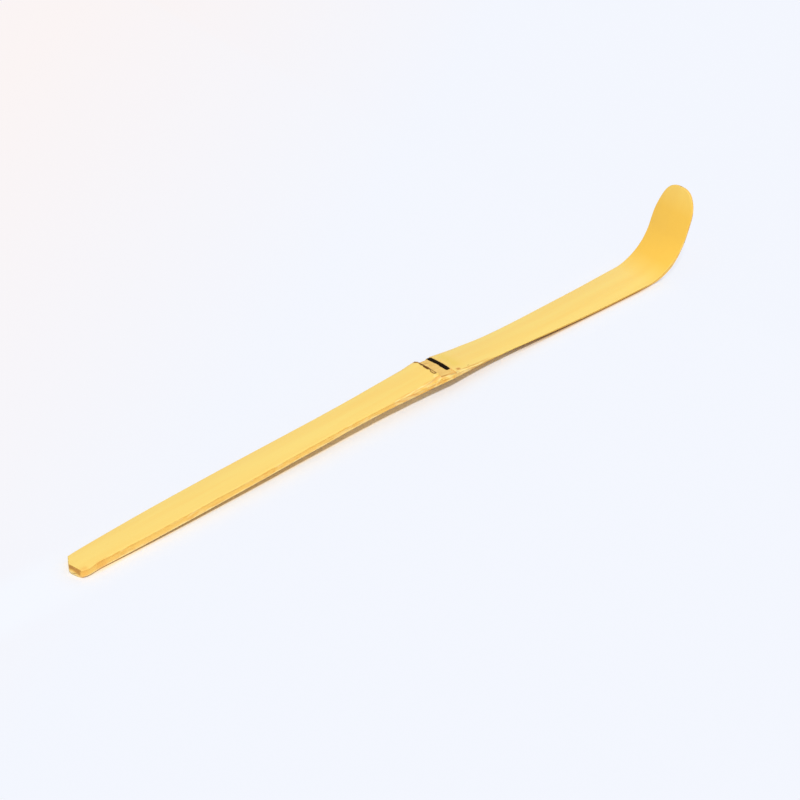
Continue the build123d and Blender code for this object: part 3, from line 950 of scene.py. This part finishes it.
def handle_top(s, y):
    """The handle's skin, worn at the cut end, and rising in small folds to the sheath scar."""
    folds = FOLD_HEIGHT * grain(s, y, 1.6, 0.5, 61) * step(SCAR - 4 * MM, SCAR, s)
    return carved(handle_crown, s, y) + folds * (1 - faceted(s, y)) - rounding(s, END_ROUND)


def scoop_top(s, y):
    """The upper skin, with a worn lip beside the dark line and a faint dip past it."""
    dip = LIP_DIP * bell(s - LIP - 2.0 * MM, 1.2 * MM)
    return carved(scoop_crown, s, y) - (dip + rounding(s - LIP, TOP_ROUND)) * (1 - faceted(s, y))


def band_top(s, y):
    """The bare band, with shallow cracks along it."""
    cracks = np.clip(grain(s, y, 3.4, 0.4, 67) - 0.45, 0, 1)
    return carved(band_crown, s, y) - CRACK_DEPTH * cracks


def band_bottom(s, y):
    """The underside of the bare band."""
    return np.minimum(skin(band_crown, s, y) - BAND, band_top(s, y) - THIN)


def wood_top(s, y):
    """The wood's outer face, under each of the layers in turn."""
    below_handle = under_rind(handle_crown, handle_top)(s, y)
    below_scoop = under_rind(scoop_crown, scoop_top)(s, y)
    return np.where(s <= SCAR, below_handle, np.where(s <= LIP, band_bottom(s, y), below_scoop))


def to_scar(s, y):
    """Stations bent, over the last stretch of handle, so that the last one follows the ragged scar."""
    return s - (scar_front(y) - SCAR_STRETCH) * step(SCAR - 2 * MM, SCAR - SCAR_STRETCH, s)


def scar_warp(s, y):
    """Stations of the scar, from its ragged back edge to the broken fibres over the band."""
    share = (s - (SCAR - SCAR_STRETCH)) / SCAR_STRETCH
    return (SCAR - scar_front(y)) * (1 - share) + (SCAR + scar_lip(y)) * share


def scar_top(s, y):
    """A low ragged ridge, highest at its two edges."""
    ridge = 0.6 + 0.4 * grain(s, y, 0.2, 0.3, 71)
    return carved(handle_crown, s, y) + SCAR_PROUD * ridge * (1 - faceted(s, y))


def scar_bottom(s, y):
    """The underside of the scar, level with that of the skin."""
    return np.minimum(skin(handle_crown, s, y) - RIND, scar_top(s, y) - THIN)


def bead(name, middle_s, low_y, high_y, half, line, proud, sunk, bow, seed):
    """A rounded bar across the strip, let into its face, with tapering ends."""
    lengths = np.sin(np.linspace(-math.pi / 2, math.pi / 2, BEAD_STATIONS))
    turns = np.linspace(0, 2 * math.pi, BEAD_TURNS + 1)[:-1]
    y_row = (low_y + high_y) / 2 + (high_y - low_y) / 2 * lengths
    taper = (1 - np.abs(lengths) ** 9) ** (1 / 3)
    y = np.repeat(y_row[:, None], len(turns), 1)
    wide = half * taper[:, None] * (1 + 0.1 * ripple(y / (0.5 * MM), np.sign(np.cos(turns))[None, :], seed))
    s = middle_s + bow * (1 - lengths[:, None] ** 2) + wide * np.cos(turns)[None, :]
    rise = np.where(np.sin(turns) > 0, proud, sunk)[None, :] * taper[:, None]
    n = skin(line, s, y) + rise * np.sin(turns)[None, :]
    n = n + BEAD_GRAIN * grain(s, y, 0.2, 0.25, seed + 1) * taper[:, None]
    faces = ring_faces(BEAD_STATIONS, BEAD_TURNS)
    first, last = list(range(BEAD_TURNS)), list(range(s.size - BEAD_TURNS, s.size))
    faces += [first, last[::-1]]
    s, y, n = s.ravel(), y.ravel(), n.ravel()
    return piece(name, place(s, y, n), faces, s, y, skin(line, s, y) - n)


def make_pieces():
    """Every piece of the scoop, with the CAD node that it stands for."""
    handle = slab(
        "handle_skin", 0, SCAR - SCAR_STRETCH, handle_crown, handle_top,
        under_rind(handle_crown, handle_top), SKIN_ROWS, SKIN_LEVELS, to_scar,
    )
    scar = slab(
        "scar_fibres", SCAR - SCAR_STRETCH, SCAR, handle_crown, scar_top,
        scar_bottom, SKIN_ROWS, SKIN_LEVELS, scar_warp,
    )
    band = slab("bare_band", SCAR, LIP, band_crown, band_top, band_bottom, SKIN_ROWS, SKIN_LEVELS)
    scoop = slab(
        "scoop_skin", LIP, TIP, scoop_crown, scoop_top,
        under_rind(scoop_crown, scoop_top), SKIN_ROWS, SKIN_LEVELS,
    )
    wood = slab("wood", 0, TIP, crown, wood_top, back, WOOD_ROWS, WOOD_LEVELS)
    ring_low, ring_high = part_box("nodal_ring")
    ring = bead(
        "dark_line", RING, ring_low.y, ring_high.y, RING_HALF,
        band_crown, RING_PROUD, RING_SUNK, RING_BOW, 73,
    )
    bar_middle, bar_half = (BAR_LOW.x + BAR_HIGH.x) / 2 - CUT_X, (BAR_HIGH.x - BAR_LOW.x) / 2
    bar = bead(
        "cross_wall", bar_middle, BAR_LOW.y, BAR_HIGH.y, bar_half,
        back_line, WALL_PROUD, WALL_SUNK, 0.0, 79,
    )
    return [
        (handle, "handle_rind", "rind", bamboo("handle_skin")),
        (scar, "sheath_scar", "scar", scar_material()),
        (band, "node_band", "band", band_material()),
        (scoop, "scoop_rind", "rind", bamboo("scoop_skin")),
        (wood, "inner_wood", "wood", bamboo("strip_wood")),
        (ring, "nodal_ring", "dark_line", ring_material()),
        (bar, "diaphragm_scar", "diaphragm", wall_scar_material()),
    ]


for made, node, slot, material in make_pieces():
    made.data.materials.append(material)
    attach(made, "root")
    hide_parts(node)


# The studio: a pale table, an even sky and one large soft lamp
FLOOR_COLOUR = colour(236, 239, 246)
# Painted warm reflection of the bamboo on the table under the strip, seen inside its shadow
PAINTED_WARM_REFLECTION = colour(248, 232, 202)
# Painted shadow on the table in the gap beside the stem's foot
PAINTED_GAP_SHADOW = colour(208, 188, 158)
TABLE_SEEN = colour(243, 246, 254)
PAINTED_WARM_CORNER = colour(253, 243, 240)
BACKDROP_COLOUR = colour(243, 246, 254)
SKY_LEVEL = 0.56
SUN_LEVEL = 1.98
SUN_ELEVATION = math.radians(58)
SUN_AZIMUTH = math.radians(37)
SUN_SPREAD = math.radians(5)
FLOOR_HALF = 3.0

# Where the table's colour changes, as places along X
NODE_X = CUT_X + SCAR
STEM_X = CUT_X + LIP
WARM_END_X = HEEL_X - 12 * MM

# How far from the strip's middle the painted glow starts to wash out the shadow, and where the shadow has
# gone
SHADOW_KEPT = 4.2 * MM
SHADOW_GONE = 9 * MM

# The table's glow turns warmer towards its far left corner, past a line that leans to the strip: painted
# warm light
CORNER_LEAN = 0.55
CORNER_START = 35 * MM
CORNER_FULL = 150 * MM


def floor():
    """The table top, which the scoop lies on."""
    mesh = bpy.data.meshes.new("table_top")
    signs = ((-1, -1), (1, -1), (1, 1), (-1, 1))
    corners = [(a * FLOOR_HALF, b * FLOOR_HALF, 0) for a, b in signs]
    mesh.from_pydata(corners, [], [(0, 1, 2, 3)])
    made = bpy.data.objects.new("table_top", mesh)
    made.location.z = min(CAD_LOW.z, 0.0)
    bpy.context.scene.collection.objects.link(made)
    mesh.materials.append(table_material())


def table_base(m, x, aside):
    """The table's colour: a painted warm reflection of the bamboo under the strip, and a painted shadow
    beside the stem.
    """
    within = m.maths("MULTIPLY", m.span(x, HEEL_X, WARM_END_X), m.span(x, CUT_X + 1 * MM, CUT_X + 6 * MM))
    handle_reach = m.span(x, CUT_X, NODE_X, 3.6 * MM, 2.4 * MM)
    stem_reach = m.span(x, STEM_X, HEEL_X, 0.0, 4.6 * MM)
    reach = m.maths("MAXIMUM", handle_reach, stem_reach)
    # Painted warm reflection of the bamboo on the table, under the strip
    under = m.maths("MULTIPLY", m.span(m.maths("SUBTRACT", aside, reach), 0.2 * MM, -0.5 * MM), within)
    under = m.maths("MULTIPLY", under, m.span(x, CUT_X + 50 * MM, NODE_X, 1.0, 0.35))
    table = m.mix(under, FLOOR_COLOUR, PAINTED_WARM_REFLECTION)
    # Painted shadow on the table in the gap beside the stem's foot
    foot = m.span(x, STEM_X + 12 * MM, HEEL_X, 3.5 * MM, 4.85 * MM)
    beside = m.span(m.maths("SUBTRACT", aside, foot), 0.15 * MM, -0.35 * MM)
    beside = m.maths("MULTIPLY", beside, m.span(x, STEM_X + 16 * MM, STEM_X + 28 * MM))
    beside = m.maths("MULTIPLY", beside, m.span(x, HEEL_X + 2 * MM, HEEL_X - 2 * MM))
    return m.mix(beside, table, PAINTED_GAP_SHADOW)


def table_material():
    """A pale table that camera rays partly see as a glow: painted light that washes out all but the shadow
    close under the strip.
    """
    m = Nodes("table_top")
    x, y = m.parts(m.new("ShaderNodeNewGeometry").outputs["Position"])[0:2]
    aside = m.maths("ABSOLUTE", y, 0.0)
    m.surface(table_base(m, x, aside), 0.9, 0.0)
    # Painted light: away from the strip and past the heel, camera rays see a glow in place of the lit table,
    # which washes out the scoop's shadow
    wider = m.span(x, STEM_X, HEEL_X, 0.0, 1.1 * MM)
    painted_glow_aside = m.span(m.maths("SUBTRACT", aside, wider), SHADOW_KEPT, SHADOW_GONE, 0.0, 0.75)
    painted_glow_ahead = m.span(x, HEEL_X + 1 * MM, HEEL_X + 7 * MM, 0.0, 0.86)
    painted_glow = m.maths("MAXIMUM", painted_glow_aside, painted_glow_ahead)
    rays = m.new("ShaderNodeLightPath")
    painted_glow = m.maths("MULTIPLY", painted_glow, rays.outputs["Is Camera Ray"])
    corner = m.span(m.maths("SUBTRACT", y, m.maths("MULTIPLY", x, CORNER_LEAN)), CORNER_START, CORNER_FULL)
    bright = m.new("ShaderNodeEmission")
    m.link(m.mix(corner, TABLE_SEEN, PAINTED_WARM_CORNER), bright.inputs["Color"])
    mixer = m.new("ShaderNodeMixShader")
    m.link(painted_glow, mixer.inputs[0])
    m.link(m.shader.outputs[0], mixer.inputs[1])
    m.link(bright.outputs[0], mixer.inputs[2])
    m.link(mixer.outputs[0], m.tree.nodes["Material Output"].inputs["Surface"])
    return m.material


def sky():
    """Even light from all round, which the camera and gloss see as a pale backdrop."""
    world = bpy.data.worlds.new("studio")
    bpy.context.scene.world = world
    world.use_nodes = True
    tree = world.node_tree
    plain = tree.nodes["Background"]
    plain.inputs["Color"].default_value = (1, 1, 1, 1)
    plain.inputs["Strength"].default_value = SKY_LEVEL
    shown = tree.nodes.new("ShaderNodeBackground")
    shown.inputs["Color"].default_value = BACKDROP_COLOUR
    shown.inputs["Strength"].default_value = 1.0
    rays = tree.nodes.new("ShaderNodeLightPath")
    either = tree.nodes.new("ShaderNodeMath")
    either.operation = "MAXIMUM"
    tree.links.new(rays.outputs["Is Camera Ray"], either.inputs[0])
    tree.links.new(rays.outputs["Is Glossy Ray"], either.inputs[1])
    mix = tree.nodes.new("ShaderNodeMixShader")
    tree.links.new(either.outputs[0], mix.inputs[0])
    tree.links.new(plain.outputs[0], mix.inputs[1])
    tree.links.new(shown.outputs[0], mix.inputs[2])
    tree.links.new(mix.outputs[0], tree.nodes["World Output"].inputs["Surface"])


def lamp():
    """One large soft lamp, high on the near side."""
    data = bpy.data.lights.new("soft_lamp", "SUN")
    data.energy = SUN_LEVEL
    data.angle = SUN_SPREAD
    made = bpy.data.objects.new("soft_lamp", data)
    bpy.context.scene.collection.objects.link(made)
    towards = Vector((
        -math.cos(SUN_ELEVATION) * math.sin(SUN_AZIMUTH),
        -math.cos(SUN_ELEVATION) * math.cos(SUN_AZIMUTH),
        math.sin(SUN_ELEVATION),
    ))
    made.rotation_mode = "QUATERNION"
    made.rotation_quaternion = towards.to_track_quat("Z", "Y")


# The camera, as a fit to the photograph's outlines gives it
CAMERA_AZIMUTH = math.radians(43.08)
CAMERA_ELEVATION = math.radians(34.02)
CAMERA_DISTANCE = 750 * MM
CAMERA_TARGET = Vector((1.80 * MM, 0.33 * MM, 0.09 * MM))
PIXEL_AT_TARGET = 0.2080 * MM
IMAGE_PIXELS = 800
SENSOR = 36.0


def camera():
    """The photograph's camera, turned on the middle of the scoop."""
    data = bpy.data.cameras.new("camera")
    data.sensor_width = SENSOR
    data.lens = SENSOR * CAMERA_DISTANCE / (IMAGE_PIXELS * PIXEL_AT_TARGET)
    data.clip_start, data.clip_end = 10 * MM, 20.0
    made = bpy.data.objects.new("camera", data)
    bpy.context.scene.collection.objects.link(made)
    away = Vector((
        -math.cos(CAMERA_ELEVATION) * math.sin(CAMERA_AZIMUTH),
        -math.cos(CAMERA_ELEVATION) * math.cos(CAMERA_AZIMUTH),
        math.sin(CAMERA_ELEVATION),
    ))
    made.location = CAMERA_TARGET + away * CAMERA_DISTANCE
    made.rotation_mode = "QUATERNION"
    made.rotation_quaternion = away.to_track_quat("Z", "Y")
    bpy.context.scene.camera = made


floor()
sky()
lamp()
camera()
bpy.context.scene.view_settings.view_transform = "Standard"
